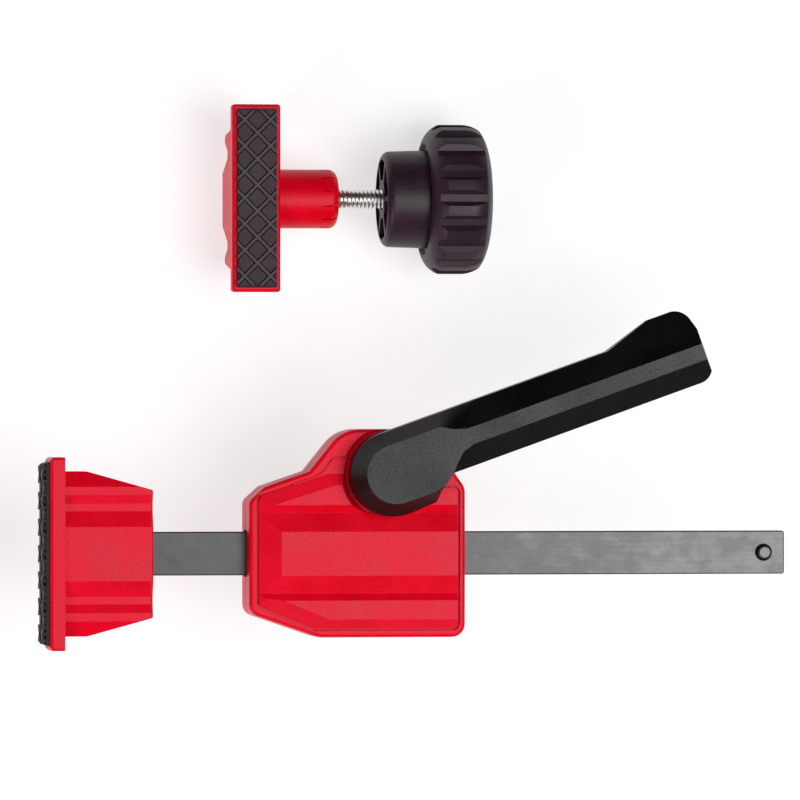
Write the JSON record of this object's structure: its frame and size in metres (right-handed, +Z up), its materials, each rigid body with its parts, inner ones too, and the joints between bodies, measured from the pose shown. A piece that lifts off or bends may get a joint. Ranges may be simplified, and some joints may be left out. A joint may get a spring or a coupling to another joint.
{
  "type": "bench lever clamp",
  "caption": "Bar clamp held in a bench hole by a spigot and knob: a cam lever feeds the padded jaw along a flat bar, with a matching fixed stop.",
  "frame": {"origin": "on the housing spigot's axis, at the plane where the housing's underside meets the bench top", "axes": "+Z up out of the bench, X along the bar with the jaw at -X, +Y towards the lever and the separate fixed stop"},
  "size_m": [0.2385, 0.1741, 0.1016],
  "materials": {
    "red_plastic": "satin moulded glass-filled nylon",
    "black_plastic": "fine-textured moulded nylon",
    "guide_plastic": "natural acetal, smooth",
    "black_rubber": "matte moulded rubber",
    "bar_steel": "blackened, satin",
    "plate_steel": "hardened, satin",
    "zinc_steel": "bright zinc plate",
    "brass": "turned"
  },
  "bodies": {
    "housing": {"lower_shell": "red_plastic", "upper_cover": "red_plastic", "housing_screws": "zinc_steel", "bar_guides": "guide_plastic", "bench_spigot": "red_plastic", "bench_bolt": "zinc_steel"},
    "clutch": {"clutch_plates": "plate_steel", "return_spring": "zinc_steel"},
    "bar_and_jaw": {"bar": "bar_steel", "bar_stop_pin": "plate_steel", "jaw_block": "red_plastic", "jaw_pad": "black_rubber", "jaw_pins": "plate_steel"},
    "lever": {"lever_handle": "black_plastic", "pivot_shaft": "zinc_steel", "cam": "plate_steel"},
    "bench_insert": {"bench_knob_nut": "brass"},
    "bench_knob": {"bench_knob": "black_plastic"},
    "stop": {"stop_block": "red_plastic", "stop_pad": "black_rubber", "stop_spigot": "red_plastic", "stop_bolt": "zinc_steel"},
    "stop_insert": {"stop_knob_nut": "brass"},
    "stop_knob": {"stop_knob": "black_plastic"}
  },
  "joints": [
    {"name": "lever_swing", "type": "hinge", "parent": "housing", "child": "lever", "pos_m": [0.00556, 0.02517, 0.019], "axis": [0, 0, 1], "range_deg": [-18, 72]},
    {"name": "clutch_feed", "type": "slide", "parent": "housing", "child": "clutch", "axis": [-1, 0, 0], "range_m": [-0.00385, 0.001]},
    {"name": "bar_slide", "type": "slide", "parent": "clutch", "child": "bar_and_jaw", "axis": [-1, 0, 0], "range_m": [-0.02565, 0.0931]},
    {"name": "bench_screw_travel", "type": "slide", "parent": "housing", "child": "bench_insert", "axis": [0, 0, 1], "range_m": [-0.00382, 0.01398]},
    {"name": "bench_knob_turn", "type": "hinge", "parent": "bench_insert", "child": "bench_knob", "pos_m": [0, 0, -0.0475], "axis": [0, 0, 1], "range_deg": [-1080, 3960]},
    {"name": "stop_place", "type": "slide", "parent": "housing", "child": "stop", "axis": [0, 1, 0], "range_m": [0, 0.06]},
    {"name": "stop_screw_travel", "type": "slide", "parent": "stop", "child": "stop_insert", "axis": [-1, 0, 0], "range_m": [-0.00382, 0.01398]},
    {"name": "stop_knob_turn", "type": "hinge", "parent": "stop_insert", "child": "stop_knob", "pos_m": [0.0285, 0.11343, -0.04522], "axis": [-1, 0, 0], "range_deg": [-1080, 3960]}
  ],
  "couplings": [
    {"joint": "clutch_feed", "follows": "lever_swing", "m_per_rad": -0.0030239},
    {"joint": "bench_screw_travel", "follows": "bench_knob_turn", "m_per_rad": 0.00020213},
    {"joint": "stop_screw_travel", "follows": "stop_knob_turn", "m_per_rad": 0.00020213}
  ]
}
